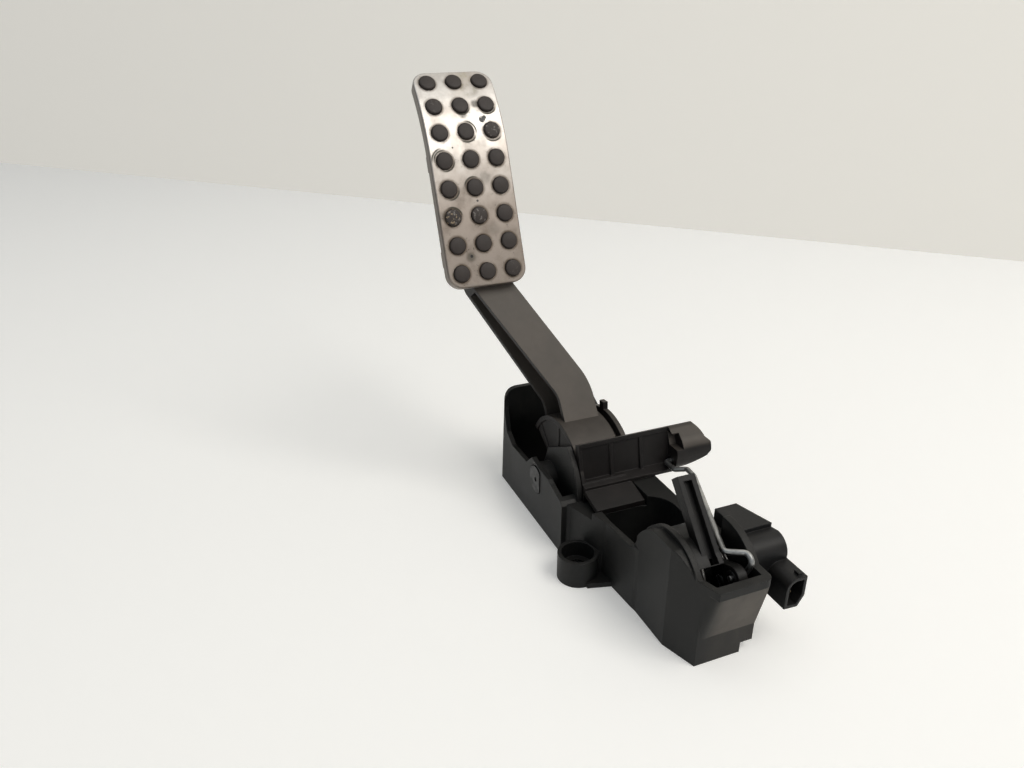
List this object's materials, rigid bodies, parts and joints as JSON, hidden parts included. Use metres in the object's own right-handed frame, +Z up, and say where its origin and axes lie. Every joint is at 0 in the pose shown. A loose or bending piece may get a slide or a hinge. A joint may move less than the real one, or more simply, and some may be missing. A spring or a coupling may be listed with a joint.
{
  "type": "accelerator pedal",
  "caption": "Accelerator pedal module: studded metal pad on a ribbed arm, moulded base with pivot block, and a wire link to the crank of a position sensor with a connector socket.",
  "frame": {"origin": "on the mounting face, midway between the two bolt holes", "axes": "+Z up from the mounting face, +X along the base towards the sensor, +Y to the connector side"},
  "size_m": [0.2607, 0.1332, 0.2549],
  "materials": {
    "housing_plastic": "fine grained black moulded plastic",
    "pedal_plastic": "warm black moulded plastic",
    "crank_plastic": "smooth black moulded plastic",
    "sensor_plastic": "black moulded plastic",
    "bush_plastic": "dark smooth bearing plastic",
    "pad_metal": "brushed and worn",
    "stud_rubber": "matte rubber, scuffed on top",
    "pin_steel": "turned steel",
    "sleeve_steel": "turned steel",
    "wire_zinc": "bright zinc plate",
    "spring_steel": "drawn spring wire",
    "contact_brass": "tinned brass",
    "board_ceramic": "fired ceramic"
  },
  "bodies": {
    "base": {"housing": "housing_plastic", "pivot_pin": "pin_steel", "pin_clip": "pin_steel", "stop_bumper": "stud_rubber", "bolt_sleeves": "sleeve_steel", "return_spring_near": "spring_steel", "return_spring_far": "spring_steel", "sensor_body": "sensor_plastic", "sensor_cover": "sensor_plastic", "sensor_board": "board_ceramic", "terminals": "contact_brass", "sensor_screws": "wire_zinc", "sensor_seal": "stud_rubber"},
    "pedal": {"pedal_arm": "pedal_plastic", "pad_plate": "pad_metal", "stud_mat": "stud_rubber", "lever_bush": "bush_plastic", "pivot_bushes": "bush_plastic"},
    "link": {"wire_link": "wire_zinc"},
    "crank": {"sensor_crank": "crank_plastic", "crank_bush": "bush_plastic", "adjuster_pin": "wire_zinc", "crank_shaft": "pin_steel", "sensor_rotor": "bush_plastic", "wiper_contacts": "contact_brass"}
  },
  "joints": [
    {"name": "pedal_pivot", "type": "hinge", "parent": "base", "child": "pedal", "pos_m": [-0.058, 0, 0.03], "axis": [0, -1, 0], "range_deg": [0, 16]},
    {"name": "link_swing", "type": "hinge", "parent": "pedal", "child": "link", "pos_m": [-0.024, 0, 0.0455], "axis": [0, -1, 0], "range_deg": [-17, 0]},
    {"name": "crank_turn", "type": "hinge", "parent": "base", "child": "crank", "pos_m": [0.059, 0, 0.034], "axis": [0, -1, 0], "range_deg": [0, 22.5]}
  ],
  "couplings": [
    {"joint": "link_swing", "follows": "pedal_pivot", "ratio": -1.0483},
    {"joint": "crank_turn", "follows": "pedal_pivot", "ratio": 1.3908}
  ]
}
